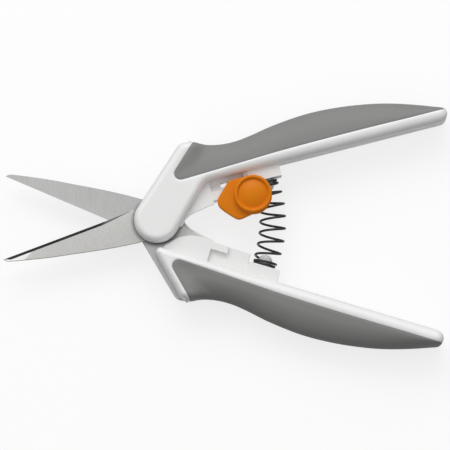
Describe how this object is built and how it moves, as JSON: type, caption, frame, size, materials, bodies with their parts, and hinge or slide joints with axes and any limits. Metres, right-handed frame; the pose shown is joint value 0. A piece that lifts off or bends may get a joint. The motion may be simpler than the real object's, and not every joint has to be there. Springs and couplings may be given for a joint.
{
  "type": "floral snips",
  "caption": "Spring-opened floral snips with straight pointed blades, white handles with grey soft grips, a coil return spring and an orange sliding latch.",
  "frame": {"origin": "on the pivot axis, at the flat back face of the rear pivot cover, which is the plane the snips lie on", "axes": "+X from the pivot towards the handle ends, along the line the tool closes on; +Y towards the handle that carries the latch; +Z along the pivot axis, out of the face with the thumb button. The snips lie flat."},
  "size_m": [0.1542, 0.0864, 0.0159],
  "materials": {
    "blade_steel": "ground and brushed stainless steel",
    "white_plastic": "satin moulded plastic",
    "grey_grip": "matte soft-touch elastomer",
    "peg_plastic": "satin moulded plastic",
    "orange_plastic": "semi-gloss moulded plastic",
    "spring_steel": "black coated spring wire",
    "fastener_steel": "plain steel",
    "washer_nylon": "natural nylon"
  },
  "bodies": {
    "lower_handle": {"rear_blade": "blade_steel", "lower_frame": "white_plastic", "lower_front_shell": "white_plastic", "lower_rear_shell": "white_plastic", "lower_grip": "grey_grip", "lower_spring_peg": "peg_plastic", "lower_tang_pins": "fastener_steel", "pivot_rivet": "fastener_steel", "front_washer": "washer_nylon", "rear_washer": "washer_nylon", "return_spring": "spring_steel"},
    "upper_handle": {"front_blade": "blade_steel", "upper_frame": "white_plastic", "upper_front_shell": "white_plastic", "upper_rear_shell": "white_plastic", "upper_grip": "grey_grip", "upper_spring_peg": "peg_plastic", "upper_tang_pins": "fastener_steel"},
    "latch": {"lock_slider": "orange_plastic", "lock_keeper": "orange_plastic", "lock_screw": "fastener_steel"}
  },
  "joints": [
    {"name": "handle_pivot", "type": "hinge", "parent": "lower_handle", "child": "upper_handle", "pos_m": [0, 0, 0], "axis": [0, 0, 1], "range_deg": [-31, 0], "deforming": ["return_spring"]},
    {"name": "lock_slide", "type": "slide", "parent": "upper_handle", "child": "latch", "axis": [-0.9636, -0.2672, 0], "range_m": [0, 0.006]}
  ]
}
